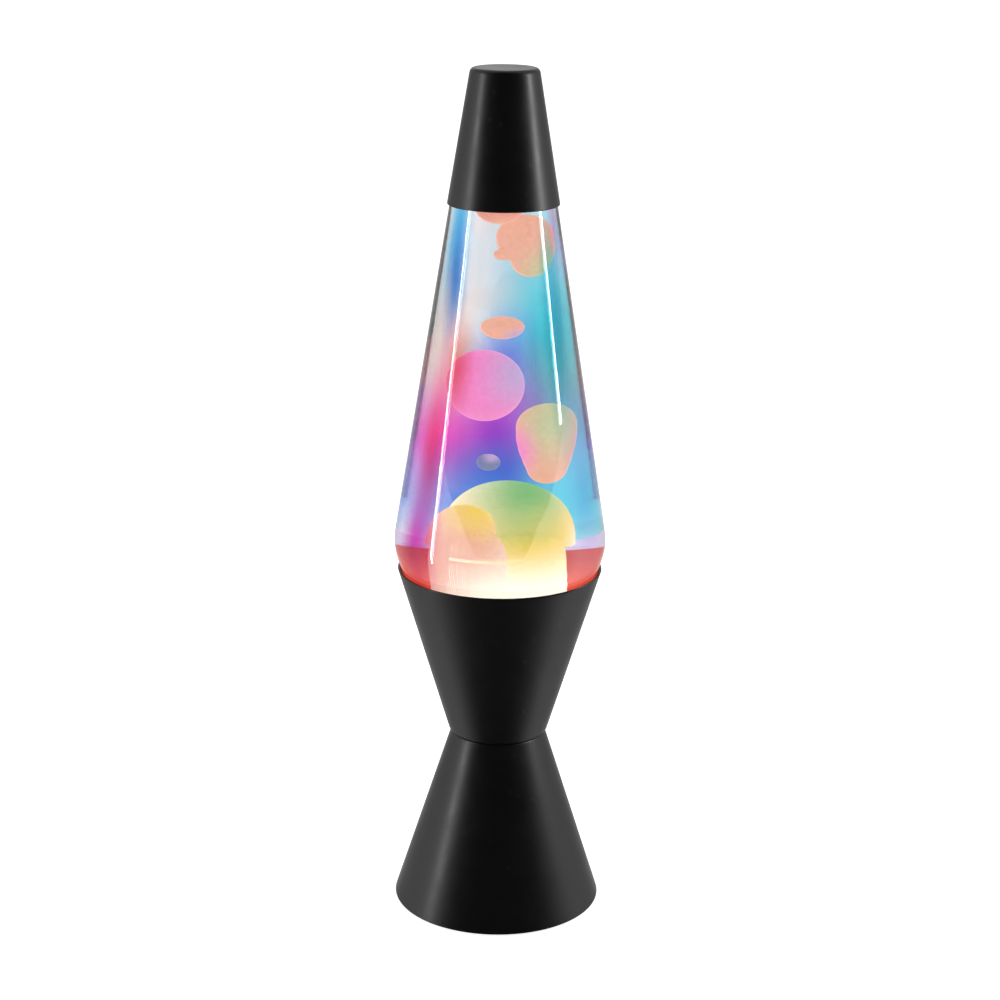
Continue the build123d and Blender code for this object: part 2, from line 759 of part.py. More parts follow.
with BuildPart() as liquid:
    add(bore_solid)
    split(bisect_by=pool_surface(FILM), keep=Keep.TOP)
    add(mound_room.part, mode=Mode.SUBTRACT)
    add(lobe_room.part, mode=Mode.SUBTRACT)
    with BuildPart(mode=Mode.PRIVATE) as hollows:
        for sizes in [*DROPS.values(), TOP_WAX]:
            drop(*sizes, grow=FILM)
    add(hollows.part, mode=Mode.SUBTRACT)
save(liquid, "liquid")
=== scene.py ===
"""Looks of the lava lamp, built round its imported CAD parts. Metres, +Z up, the front towards -Y."""

import math

import bmesh
import bpy
from mathutils import Matrix, Vector, noise


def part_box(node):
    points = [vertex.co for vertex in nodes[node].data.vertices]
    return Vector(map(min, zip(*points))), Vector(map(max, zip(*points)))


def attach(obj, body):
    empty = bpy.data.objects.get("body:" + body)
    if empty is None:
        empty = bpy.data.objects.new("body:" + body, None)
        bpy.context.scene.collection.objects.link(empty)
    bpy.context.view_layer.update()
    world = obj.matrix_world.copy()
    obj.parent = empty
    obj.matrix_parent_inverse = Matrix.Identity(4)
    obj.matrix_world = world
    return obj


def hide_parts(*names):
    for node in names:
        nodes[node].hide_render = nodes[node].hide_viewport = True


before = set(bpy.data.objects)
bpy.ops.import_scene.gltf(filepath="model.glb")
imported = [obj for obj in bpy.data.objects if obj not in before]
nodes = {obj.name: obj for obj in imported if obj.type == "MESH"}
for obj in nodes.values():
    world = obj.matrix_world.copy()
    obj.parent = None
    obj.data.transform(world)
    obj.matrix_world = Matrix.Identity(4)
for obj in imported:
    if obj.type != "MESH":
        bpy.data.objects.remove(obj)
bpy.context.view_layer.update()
MM = 0.001

# ---- Node helpers --------------------------------------------------------------------------------


class Graph:
    """A material's node tree with a Principled shader, and short calls that add nodes to it."""

    def __init__(self, name):
        self.material = bpy.data.materials.new(name)
        self.material.use_nodes = True
        self.tree = self.material.node_tree
        self.tree.nodes.clear()
        self.out = self.tree.nodes.new("ShaderNodeOutputMaterial")
        self.shader = self.tree.nodes.new("ShaderNodeBsdfPrincipled")
        self.link(self.shader.outputs[0], self.out.inputs["Surface"])
        self.place = self.tree.nodes.new("ShaderNodeTexCoord").outputs["Object"]

    def link(self, source, target):
        self.tree.links.new(source, target)

    def put(self, value, socket):
        """Links value if it is a socket, and else sets it."""
        if isinstance(value, bpy.types.NodeSocket):
            self.link(value, socket)
        elif isinstance(value, (tuple, list)) and len(value) == 3 and len(socket.default_value) == 4:
            socket.default_value = (*value, 1.0)
        else:
            socket.default_value = value

    def set(self, **sockets):
        """Sets or links the shader's sockets, named with _ for a space."""
        for name, value in sockets.items():
            self.put(value, self.shader.inputs[name.replace("_", " ")])

    def math(self, operation, a, b=0.0):
        node = self.tree.nodes.new("ShaderNodeMath")
        node.operation = operation
        self.put(a, node.inputs[0])
        self.put(b, node.inputs[1])
        return node.outputs[0]

    def vector(self, operation, a, b=(0.0, 0.0, 0.0)):
        node = self.tree.nodes.new("ShaderNodeVectorMath")
        node.operation = operation
        self.put(a, node.inputs[0])
        if operation == "SCALE":
            self.put(b, node.inputs["Scale"])
        else:
            self.put(b, node.inputs[1])
        return node.outputs["Value" if operation in ("DISTANCE", "LENGTH", "DOT_PRODUCT") else "Vector"]

    def axes(self, vector):
        node = self.tree.nodes.new("ShaderNodeSeparateXYZ")
        self.link(vector, node.inputs[0])
        return node.outputs

    def joined(self, x, y, z=0.0):
        node = self.tree.nodes.new("ShaderNodeCombineXYZ")
        for value, socket in zip((x, y, z), node.inputs):
            self.put(value, socket)
        return node.outputs[0]

    def noise(self, scale, detail=3.0, place=None, colour=False):
        node = self.tree.nodes.new("ShaderNodeTexNoise")
        self.link(place or self.place, node.inputs["Vector"])
        node.inputs["Scale"].default_value = scale
        node.inputs["Detail"].default_value = detail
        return node.outputs["Color" if colour else "Fac"]

    def spread(self, value, low, high, to_low=0.0, to_high=1.0, smooth=False):
        node = self.tree.nodes.new("ShaderNodeMapRange")
        node.interpolation_type = "SMOOTHSTEP" if smooth else "LINEAR"
        for item, socket in zip((value, low, high, to_low, to_high), node.inputs):
            self.put(item, socket)
        return node.outputs[0]

    def mix(self, share, a, b, mode="MIX"):
        node = self.tree.nodes.new("ShaderNodeMix")
        node.data_type = "RGBA"
        node.blend_type = mode
        self.put(share, node.inputs[0])
        self.put(a, node.inputs[6])
        self.put(b, node.inputs[7])
        return node.outputs[2]

    def ramp(self, value, stops):
        node = self.tree.nodes.new("ShaderNodeValToRGB")
        self.link(value, node.inputs[0])
        points = node.color_ramp.elements
        while len(points) < len(stops):
            points.new(0.5)
        for point, (at, colour) in zip(points, stops):
            point.position = at
            point.color = (*colour, 1.0)
        return node.outputs[0]

    def clouds(self, colour, place, table):
        """Paints soft clouds (colour, centre, half size) over a colour, in turn."""
        for tint, centre, size in table:
            offset = self.vector("SUBTRACT", place, (*centre, 0.0))
            away = self.vector("LENGTH", self.vector("DIVIDE", offset, (*size, 1.0)))
            colour = self.mix(self.spread(away, 1.0, 0.0, smooth=True), colour, tint)
        return colour

    def bump(self, height, distance, strength=1.0):
        node = self.tree.nodes.new("ShaderNodeBump")
        self.link(height, node.inputs["Height"])
        node.inputs["Distance"].default_value = distance
        node.inputs["Strength"].default_value = strength
        self.link(node.outputs[0], self.shader.inputs["Normal"])


def shade(tint, low, high):
    """A tint made darker and lighter."""
    return tuple(c * low for c in tint), tuple(min(1.0, c * high) for c in tint)


def surface(name, tint, rough, metal=0.0, grain=900.0, relief=0.01, mottle=0.08, wear=0.06, specular=0.5):
    """A plain finish: tint and roughness vary softly, over a fine grain that is relief mm deep."""
    g = Graph(name)
    broad = g.noise(45.0, 4.0)
    fine = g.noise(grain, 2.0)
    low, high = shade(tint, 1.0 - mottle, 1.0 + mottle)
    g.set(
        Base_Color=g.mix(broad, low, high),
        Metallic=metal,
        Roughness=g.spread(g.noise(260.0, 3.0), 0.3, 0.7, rough - wear, rough + wear),
        Specular_IOR_Level=specular,
    )
    g.bump(fine, relief * MM)
    return g.material


def painted_metal(name, tint, rough):
    """Satin paint over spun metal: soft orange peel, faint turning rings and small dust scuffs."""
    g = Graph(name)
    z = g.axes(g.place)[2]
    rings = g.noise(1.0, 2.0, g.joined(0.0, 0.0, g.math("MULTIPLY", z, 1400.0)))
    peel = g.noise(1700.0, 2.0)
    scuffs = g.spread(g.noise(320.0, 6.0), 0.66, 0.78)
    low, high = shade(tint, 0.9, 1.12)
    body = g.mix(g.noise(30.0, 4.0), low, high)
    g.set(
        Base_Color=g.mix(g.math("MULTIPLY", scuffs, 0.12), body, (0.12, 0.12, 0.125)),
        Roughness=g.spread(g.math("ADD", g.noise(90.0, 4.0), g.math("MULTIPLY", scuffs, 0.3)), 0.3, 1.0,
                           rough - 0.03, rough + 0.09),
        Specular_IOR_Level=0.5,
    )
    g.bump(g.math("ADD", g.math("MULTIPLY", rings, 0.35), peel), 0.006 * MM)
    return g.material


def clear(name, tint, ior, rough=0.0):
    """A clear solid or liquid, with the slightest waviness in its surface."""
    g = Graph(name)
    g.set(Base_Color=tint, Roughness=rough, IOR=ior, Transmission_Weight=1.0)
    g.bump(g.noise(60.0, 1.0), 0.02 * MM)
    return g.material


def glowing(name, tint, strength):
    """Something that gives light, a little uneven."""
    g = Graph(name)
    low, high = shade(tint, 0.85, 1.1)
    tint_map = g.mix(g.noise(700.0), low, high)
    g.set(Base_Color=tint_map, Roughness=0.6, Emission_Color=tint_map, Emission_Strength=strength)
    return g.material


# ---- Mesh helpers --------------------------------------------------------------------------------


def rounded(corners, step=5.0):
    """Points of an open outline from (radius, height, fillet) corners, with arcs cut every step degrees."""
    points = []
    for i, (r, z, size) in enumerate(corners):
        here = Vector((r, z))
        if not size or i in (0, len(corners) - 1):
            points.append((r, z))
            continue
        back = (Vector(corners[i - 1][:2]) - here).normalized()
        ahead = (Vector(corners[i + 1][:2]) - here).normalized()
        opening = back.angle(ahead)
        reach = size / math.tan(opening / 2)
        centre = here + (back + ahead).normalized() * (size / math.sin(opening / 2))
        start, end = here + back * reach, here + ahead * reach
        first, last = start - centre, end - centre
        swing = math.atan2(first.x * last.y - first.y * last.x, first.dot(last))
        count = max(2, math.ceil(abs(math.degrees(swing)) / step))
        for k in range(count + 1):
            turn = Matrix.Rotation(swing * k / count, 2)
            points.append(tuple(centre + turn @ first))
    return points


def new_piece(name, mesh, material, body, *replaced, slot=None):
    """Links a mesh as a piece that rides on a body and stands for CAD nodes."""
    piece = bpy.data.objects.new(name, mesh)
    bpy.context.scene.collection.objects.link(piece)
    mesh.materials.clear()
    mesh.materials.append(material)
    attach(piece, body)
    if replaced:
        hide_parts(*replaced)


def lathe(name, outline, sides=360, sharp=40.0):
    """A solid of revolution from (radius, height) points in mm, from axis to axis or in a loop."""
    bm = bmesh.new()
    loop = []
    for r, z in outline:
        if r < 1e-6:
            loop.append([bm.verts.new((0, 0, z * MM))])
            continue
        ring = []
        for k in range(sides):
            a = 2 * math.pi * k / sides
            ring.append(bm.verts.new((r * MM * math.cos(a), r * MM * math.sin(a), z * MM)))
        loop.append(ring)
    for lower, upper in zip(loop, loop[1:] + loop[:1]):
        if len(lower) == 1 and len(upper) == 1:
            continue
        for k in range(sides):
            n = (k + 1) % sides
            if len(lower) == 1:
                bm.faces.new((lower[0], upper[n], upper[k]))
            elif len(upper) == 1:
                bm.faces.new((lower[k], lower[n], upper[0]))
            else:
                bm.faces.new((lower[k], lower[n], upper[n], upper[k]))
    bmesh.ops.recalc_face_normals(bm, faces=bm.faces)
    mesh = bpy.data.meshes.new(name)
    bm.to_mesh(mesh)
    bm.free()
    mesh.polygons.foreach_set("use_smooth", [True] * len(mesh.polygons))
    mesh.set_sharp_from_angle(angle=math.radians(sharp))
    return mesh


def blob(name, lumps, voxel=0.7, relax=6, ripple=0.25):
    """One smooth lump of wax, grown together from ellipsoids ((x, y, z), (rx, ry, rz)) in mm."""
    bm = bmesh.new()
    for centre, radii in lumps:
        spot = Matrix.Translation(Vector(centre) * MM) @ Matrix.Diagonal((*(Vector(radii) * MM), 1.0))
        bmesh.ops.create_icosphere(bm, subdivisions=5, radius=1.0, matrix=spot)
    mesh = bpy.data.meshes.new(name)
    bm.to_mesh(mesh)
    bm.free()
    piece = bpy.data.objects.new(name, mesh)
    bpy.context.scene.collection.objects.link(piece)
    joiner = piece.modifiers.new("join", "REMESH")
    joiner.mode = "VOXEL"
    joiner.voxel_size = voxel * MM
    joiner.use_smooth_shade = True
    softener = piece.modifiers.new("relax", "SMOOTH")
    softener.factor = 0.8
    softener.iterations = relax
    shape = bpy.data.meshes.new_from_object(piece.evaluated_get(bpy.context.evaluated_depsgraph_get()))
    bpy.data.objects.remove(piece)
    for vertex in shape.vertices:
        wave = noise.noise(vertex.co * 60.0)
        vertex.co += vertex.normal * wave * ripple * MM
    shape.name = name
    shape.polygons.foreach_set("use_smooth", [True] * len(shape.polygons))
    return shape


# ---- Finishes ------------------------------------------------------------------------------------

BLACK = (0.004, 0.004, 0.0042)
black_paint = painted_metal("black_satin_paint", BLACK, 0.34)

FINISHES = {
    "zinc": surface("zinc_plate", (0.55, 0.56, 0.58), 0.32, 1.0, 500.0, 0.008),
    "brass": surface("rolled_brass", (0.72, 0.5, 0.2), 0.28, 1.0, 300.0, 0.01),
    "nickel": surface("bulb_shell_metal", (0.66, 0.65, 0.62), 0.3, 1.0, 300.0, 0.01),
    "porcelain": surface("glazed_porcelain", (0.82, 0.8, 0.74), 0.22, 0.0, 120.0, 0.02, 0.05, 0.05),
    "solder": surface("solder", (0.5, 0.5, 0.5), 0.4, 1.0, 260.0, 0.03, 0.2),
    "vitrite": surface("black_vitrite", (0.02, 0.016, 0.02), 0.15, 0.0, 200.0, 0.02),
    "wire_black": surface("black_insulation", (0.015, 0.015, 0.015), 0.5, 0.0, 700.0, 0.01),
    "wire_white": surface("white_insulation", (0.75, 0.74, 0.7), 0.5, 0.0, 700.0, 0.01),
    "nylon": surface("crimp_nylon", (0.6, 0.58, 0.52), 0.38, 0.0, 400.0, 0.01),
    "bushing": surface("black_nylon", (0.014, 0.014, 0.014), 0.45, 0.0, 900.0, 0.02),
    "board": surface("black_fibreboard", (0.035, 0.033, 0.03), 0.85, 0.0, 1100.0, 0.06, 0.3),
    "rubber": surface("foot_rubber", (0.02, 0.02, 0.02), 0.75, 0.0, 1300.0, 0.03, 0.2),
    "crown": surface("crown_lacquer", (0.62, 0.5, 0.22), 0.25, 1.0, 300.0, 0.01),
    "liner": surface("liner_foam", (0.8, 0.8, 0.77), 0.8, 0.0, 2000.0, 0.03),
    "coil": surface("coil_wire", (0.6, 0.6, 0.62), 0.25, 1.0, 400.0, 0.004),
    "bulb_glass": clear("bulb_glass", (0.98, 0.985, 0.98), 1.5),
    "stem_glass": clear("stem_glass", (0.9, 0.93, 0.92), 1.52),
    "filament": glowing("hot_filament", (1.0, 0.62, 0.25), 60.0),
}
CAD_FINISH = {
    "base_screws": "zinc", "base_nuts": "zinc", "socket_bracket": "zinc", "threaded_nipple": "zinc",
    "nipple_nut": "zinc", "lock_washer": "zinc", "socket_body": "porcelain", "socket_shell": "brass",
    "socket_contact": "brass", "socket_lead_black": "wire_black", "socket_lead_white": "wire_white",
    "crimp_caps": "nylon", "cord_bushing": "bushing", "bottom_cover": "board", "foot_pads": "rubber",
    "bulb_contact": "solder", "bulb_insulator": "vitrite", "bulb_screw_shell": "nickel",
    "bulb_glass": "bulb_glass", "bulb_stem": "stem_glass", "bulb_lead_wires": "coil",
    "bulb_filament": "filament", "crown_cap": "crown", "cap_liner": "liner", "wire_coil": "coil",
}


def finish_node(node, material):
    """Gives a CAD node one material."""
    piece = nodes[node]
    piece.data.materials.clear()
    piece.data.materials.append(material)


for node, finish in CAD_FINISH.items():
    finish_node(node, FINISHES[finish])
for node in ("lower_cone", "upper_cup", "top_cap"):
    finish_node(node, black_paint)

# ---- Globe ---------------------------------------------------------------------------------------

# The CAD's own dimensions in mm, except for BELLY_Z
GLASS_WALL, GLOBE_FLOOR, PUNT = 2.0, 4.0, 4.5
GLASS_REF_R, GLASS_REF_Z, GLASS_SLOPE = 27.66, 280.0, 0.1613
CUP_WAIST_R, WAIST_Z = 21.4, 79.6
CUP_RIM_R, CUP_RIM, CAP_RIM = 44.2, 154.5, 312.2
CUP_WALL_R, NEST_GAP = 1.045, 0.35
BELLY_Z = 165.52  # 0.07 above the CAD's, which is where the two tapers cross
FOOT_Z, SHOULDER_Z, TOP_Z = 128.0, 318.0, 341.0


def taper_r(z):
    """Outside radius of the globe's long taper, above its widest line."""
    return GLASS_REF_R - GLASS_SLOPE * (z - GLASS_REF_Z)


def nest_r(z):
    """Outside radius of the globe's lower taper, which nests in the cup."""
    cup_r = CUP_WAIST_R + (CUP_RIM_R - CUP_WAIST_R) * (z - WAIST_Z) / (CUP_RIM - WAIST_Z)
    return cup_r - CUP_WALL_R - NEST_GAP


def globe_outline(inset):
    """Corners of the globe below its neck, as the CAD draws them, moved inwards by inset."""
    floor = 0 if inset == 0 else GLOBE_FLOOR + inset - GLASS_WALL
    foot = FOOT_Z + floor
    return [
        (0, foot + PUNT, 0),
        (19, foot + PUNT, 9),
        (27, foot, 4),
        (nest_r(FOOT_Z) - 1.05 * inset, foot, 5),
        (taper_r(BELLY_Z) - 1.03 * inset, BELLY_Z, 25),
        (taper_r(SHOULDER_Z - inset) - 1.02 * inset, SHOULDER_Z - inset, 5),
    ]


NECK_R, BORE_R = 12.4, 8.6
ARC_STEP = 2.5
outside = rounded([
    *globe_outline(0),
    (NECK_R, 325, 4),
    (NECK_R, 335.5, 0.8),
    (13.3, 336.5, 0.8),
    (13.3, 338.5, 0.8),
    (12.0, TOP_Z, 1.2),
    (BORE_R, TOP_Z, 0),
], ARC_STEP)
inside = rounded([*globe_outline(GLASS_WALL), (BORE_R, 322, 5), (BORE_R, TOP_Z - 0.5, 0)], ARC_STEP)
globe_mesh = lathe("globe", outside + inside[::-1], 360)

OVERLAP = 0.25  # how far the liquid reaches into the glass, so that no air shows between them
LIQUID_TOP = 322.0
wet_r = BORE_R + OVERLAP
wet = rounded([*globe_outline(GLASS_WALL - OVERLAP), (wet_r, 321.7, 5), (wet_r, LIQUID_TOP + 6, 0)], ARC_STEP)
wet = [p for p in wet if p[1] <= LIQUID_TOP] + [(wet_r, LIQUID_TOP), (0, LIQUID_TOP)]
liquid_mesh = lathe("lamp_liquid", wet, 360)

# Tints, as light that gets through
SKY, CYAN, TEAL = (0.05, 0.5, 0.8), (0.01, 0.5, 0.62), (0.01, 0.4, 0.36)
BLUE, INDIGO, PURPLE = (0.01, 0.18, 0.6), (0.06, 0.06, 0.5), (0.35, 0.03, 0.5)
MAGENTA, ROSE, CORAL = (0.7, 0.03, 0.45), (0.85, 0.1, 0.3), (0.85, 0.35, 0.3)
BLUSH, SAND, MIST = (0.95, 0.5, 0.75), (0.8, 0.7, 0.65), (0.6, 0.6, 0.65)
LILAC, WHITE = (0.75, 0.7, 0.9), (1.0, 1.0, 1.0)

UNWRAP = 36.0  # mm across per radian round the globe
BACK_SPAN = 16.0  # mm of the far wall that the liquid, as a lens, spreads over half of the globe's width
LOOK_DOWN = 15.0  # how much lower a slightly downward look meets the far wall

# Colour, then across (-1 left edge, 1 right edge), up (0 cup's rim, 1 cap's rim), half width and half height.
NEAR_CLOUDS = [
    (SKY, -0.8, 0.95, 0.5, 0.45),
    (BLUE, -0.75, 0.8, 0.3, 0.3),
    (SAND, -0.85, 0.6, 0.35, 0.3),
    (CORAL, -0.6, 0.6, 0.35, 0.2),
    (ROSE, -0.75, 0.38, 0.3, 0.35),
    (MAGENTA, -0.8, 0.12, 0.4, 0.25),
    (BLUSH, 0.9, 0.97, 0.3, 0.2),
    (CYAN, 0.75, 0.7, 0.35, 0.45),
    (LILAC, 0.85, 0.3, 0.4, 0.4),
]
FAR_CLOUDS = [
    (SAND, -0.5, 0.72, 1.0, 0.4),
    (MIST, 0.0, 0.95, 1.4, 0.5),
    (CYAN, 0.7, 0.7, 1.3, 0.7),
    (BLUE, 0.1, 0.6, 0.8, 0.25),
    (TEAL, 0.6, 0.52, 0.6, 0.3),
    (PURPLE, -0.1, 0.42, 1.3, 0.35),
    (MAGENTA, -0.7, 0.38, 0.7, 0.25),
    (INDIGO, 0.0, 0.3, 1.1, 0.2),
    (BLUE, -0.2, 0.18, 1.3, 0.25),
    (CYAN, 0.8, 0.22, 0.8, 0.35),
]
# Distances round the globe in mm, from the middle of its front or back, where one look fades to another
NEAR_ENDS, FAR_ENDS = (66.0, 84.0), (18.0, 32.0)
# Where the pale streaks of painted light near the globe's edges start and stop, and how strong they are: they
# stand in for light that the glass refracts there
STREAKS_START, STREAKS_STOP = (30.0, 42.0), (66.0, 56.0)
SEAM = 6.0
STREAK_STRENGTH = 0.35
SIDE_TINTS = [(0.3, SKY), (0.42, MIST), (0.5, PURPLE), (0.58, ROSE), (0.7, CORAL)]


def near_cloud(tint, across, up, half_width, half_height):
    """A cloud on the near wall, which curves away towards the edges."""
    length = CAP_RIM - CUP_RIM
    centre = (math.asin(across) * UNWRAP, CUP_RIM + up * length)
    return tint, centre, (half_width * UNWRAP, half_height * length)


def far_cloud(tint, across, up, half_width, half_height):
    """A cloud on the far wall, where it shows at that place through the liquid."""
    length = CAP_RIM - CUP_RIM
    centre = (across * BACK_SPAN, CUP_RIM + up * length - LOOK_DOWN)
    return tint, centre, (half_width * BACK_SPAN, half_height * length)


def tinted_glass(name):
    """Clear glass under a sprayed film of soft coloured clouds that run into each other."""
    g = Graph(name)
    place = g.vector("SCALE", g.place, 1.0 / MM)
    x, y, z = g.axes(place)
    swirl = g.vector("SCALE", g.vector("SUBTRACT", g.noise(45.0, 2.0, colour=True), (0.5, 0.5, 0.5)), 3.0)
    from_front = g.math("MULTIPLY", g.math("ARCTAN2", x, g.math("MULTIPLY", y, -1.0)), UNWRAP)
    from_back = g.math("MULTIPLY", g.math("ARCTAN2", x, y), UNWRAP)
    at_front = g.vector("ADD", g.joined(from_front, z), g.vector("MULTIPLY", swirl, (1.0, 1.0, 0.0)))
    at_back = g.joined(from_back, z)
    side = g.ramp(g.noise(11.0, 1.5), SIDE_TINTS)
    near = g.clouds(WHITE, at_front, [near_cloud(*c) for c in NEAR_CLOUDS])
    far = g.clouds(WHITE, at_back, [far_cloud(*c) for c in FAR_CLOUDS])
    near = g.mix(g.spread(g.math("ABSOLUTE", from_front), *NEAR_ENDS, smooth=True), near, side)
    far = g.mix(g.spread(g.math("ABSOLUTE", from_back), *FAR_ENDS, smooth=True), far, side)
    colour = g.mix(g.spread(y, -SEAM, SEAM, smooth=True), near, far)
    # Pale streaks near the globe's edges are painted light: they stand in for light that the glass refracts
    # there.
    drawn_out = g.joined(g.math("MULTIPLY", from_front, 0.55), g.math("MULTIPLY", z, 0.004))
    streaks = g.spread(g.noise(1.0, 4.0, drawn_out), 0.5, 0.68, smooth=True)
    round_front = g.math("ABSOLUTE", from_front)
    begins = g.spread(round_front, *STREAKS_START, smooth=True)
    ends = g.spread(round_front, *STREAKS_STOP, smooth=True)
    edge = g.math("MULTIPLY", begins, ends)
    painted_edge_light = g.math("MULTIPLY", g.math("MULTIPLY", streaks, edge), STREAK_STRENGTH)
    g.set(Base_Color=g.mix(painted_edge_light, colour, WHITE), Roughness=0.0, IOR=1.5, Transmission_Weight=1.0)
    return g.material


film = tinted_glass("tinted_globe_glass")
new_piece("globe", globe_mesh, film, "globe", "globe_glass", slot="globe_glass")
liquid_finish = clear("clear_liquid", (0.995, 1.0, 1.0), 1.36)
new_piece("lamp_liquid", liquid_mesh, liquid_finish, "globe", "liquid", slot="lamp_liquid")

# ---- Wax -----------------------------------------------------------------------------------------


# Wax colours, as the painted glow that stands in for the bulb's light in the wax
PEACH, SALMON, HOT_PINK = (0.95, 0.48, 0.35), (0.9, 0.38, 0.3), (1.0, 0.28, 0.65)
VIOLET, SLATE, SAGE = (0.6, 0.45, 0.75), (0.22, 0.25, 0.45), (0.6, 0.65, 0.38)
LEAF, LEMON, CREAM = (0.2, 0.55, 0.2), (1.0, 0.7, 0.12), (1.3, 1.2, 1.0)
# Strength of the wax's painted glow, which stands in for the bulb's light
WAX_GLOW = 0.95
WAX_BODY = (0.08, 0.08, 0.08)


def wax(node, base, table):
    """Lit wax: a painted glow, standing in for the bulb's light in the wax, in clouds of colour placed over
    its own box, with a fine grain and small pits.
    """
    g = Graph(f"{node}_lit")
    low, high = (Vector(corner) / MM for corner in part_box(node))
    middle, half = (low + high) / 2, (high - low) / 2
    placed = [(tint, (middle.x + across * half.x, middle.z + up * half.z), (wide * half.x, tall * half.z))
              for tint, across, up, wide, tall in table]
    x, _, z = g.axes(g.vector("SCALE", g.place, 1.0 / MM))
    colour = g.clouds(base, g.joined(x, z), placed)
    grain = g.spread(g.noise(620.0, 5.0), 0.3, 0.7, WAX_GLOW * 0.94, WAX_GLOW * 1.05)
    pits = g.spread(g.noise(330.0, 2.0), 0.68, 0.76)
    body = g.mix(g.math("MULTIPLY", pits, 0.25), colour, SALMON)
    g.set(Base_Color=g.mix(1.0, body, WAX_BODY, "MULTIPLY"), Roughness=0.45, Emission_Color=body,
          Emission_Strength=grain)
    g.bump(g.noise(300.0, 3.0), 0.05 * MM)
    return g.material


# The plain colour, then clouds: colour, across and up (-1 to 1 over the piece), half width and half height.
WAX_LOOKS = {
    "wax_ball": (HOT_PINK, [(VIOLET, 1.0, 0.5, 1.5, 1.6)]),
    "wax_pear": (PEACH, [(SAGE, 0.3, 0.7, 1.9, 1.6), (HOT_PINK, -1.0, -0.1, 1.1, 0.9)]),
    "wax_disc": (PEACH, [(VIOLET, 0.9, -0.7, 1.3, 1.2)]),
    "wax_bead": (SLATE, [(VIOLET, 0.3, 0.8, 1.2, 1.0)]),
    "wax_cloud": (PEACH, [(SAGE, 0.9, -0.9, 1.6, 1.4)]),
    "top_wax": (SALMON, [(PEACH, 0.3, -0.9, 1.5, 0.8)]),
    # The mound and the lobe sit over the bulb: their cream, brighter than white, is painted bulb light.
    "wax_mound": (CREAM, [(LEMON, 0.4, 0.5, 2.4, 0.8), (LEAF, 0.2, 0.95, 1.3, 0.7)]),
    "wax_lobe": (CREAM, [
        (PEACH, 0.0, 0.6, 2.4, 1.0), (LEMON, 0.3, 1.0, 1.6, 0.5), (SALMON, -1.1, 0.1, 1.6, 1.1),
    ]),
}
waxes = {node: wax(node, *look) for node, look in WAX_LOOKS.items()}


def pool_wax(name):
    """Red wax with a painted glow for the bulb's light: deep at the glass, and painted pale on top where the
    bulb shines through it.
    """
    g = Graph(name)
    _, y, z = g.axes(g.vector("SCALE", g.place, 1.0 / MM))
    level = g.math("ADD", g.math("MULTIPLY", y, POOL_SLOPE), POOL_LEVEL)
    depth = g.math("SUBTRACT", level, z)
    red = g.mix(g.noise(55.0, 4.0), (0.42, 0.008, 0.008), (0.85, 0.035, 0.03))
    side = g.mix(g.spread(z, 168.0, 156.0, smooth=True), red, (0.95, 0.1, 0.05))
    body = g.mix(g.spread(depth, 0.9, 1.6, smooth=True), (0.72, 0.6, 0.85), side)
    g.set(Base_Color=g.mix(1.0, body, WAX_BODY, "MULTIPLY"), Roughness=0.45, Emission_Color=body,
          Emission_Strength=g.spread(g.noise(620.0, 5.0), 0.3, 0.7, WAX_GLOW * 0.9, WAX_GLOW * 1.05))
    g.bump(g.noise(300.0, 3.0), 0.05 * MM)
    return g.material


POOL_LEVEL, POOL_SLOPE = 165.8, -0.246  # height at the middle, and change for each mm back
wax_red = pool_wax("pool_wax_lit")


def bore_r(z):
    """Inside radius of the globe at a height, in mm."""
    for (r0, z0), (r1, z1) in zip(inside, inside[1:]):
        if z0 <= z <= z1 and z1 > z0:
            return r0 + (r1 - r0) * (z - z0) / (z1 - z0)
    return 0.0


def grid_mesh(name, rows):
    """A closed skin through rows of points (mm) that each run round the same way, with a pole at each end."""
    bm = bmesh.new()
    rings = [[bm.verts.new(Vector(p) * MM) for p in row] for row in rows]
    ends = []
    for ring in (rings[0], rings[-1]):
        middle = sum((v.co for v in ring), Vector()) / len(ring)
        ends.append(bm.verts.new(middle))
    count = len(rings[0])
    for k in range(count):
        n = (k + 1) % count
        for lower, upper in zip(rings, rings[1:]):
            bm.faces.new((lower[k], lower[n], upper[n], upper[k]))
        bm.faces.new((ends[0], rings[0][n], rings[0][k]))
        bm.faces.new((ends[1], rings[-1][k], rings[-1][n]))
    bmesh.ops.recalc_face_normals(bm, faces=bm.faces)
    mesh = bpy.data.meshes.new(name)
    bm.to_mesh(mesh)
    bm.free()
    mesh.polygons.foreach_set("use_smooth", [True] * len(mesh.polygons))
    return mesh


FILM_GAP = 0.1  # between the mound or the lobe and the glass
POOL_GAP = 0.5
SPILL_Z, SPILL_DEPTH = 188.0, 13.0  # the spill starts below this height, and is full after this drop
SPILL_REACH = 38.0  # how far the full spill pushes forwards
WAX_FLOOR_Z = 133.0


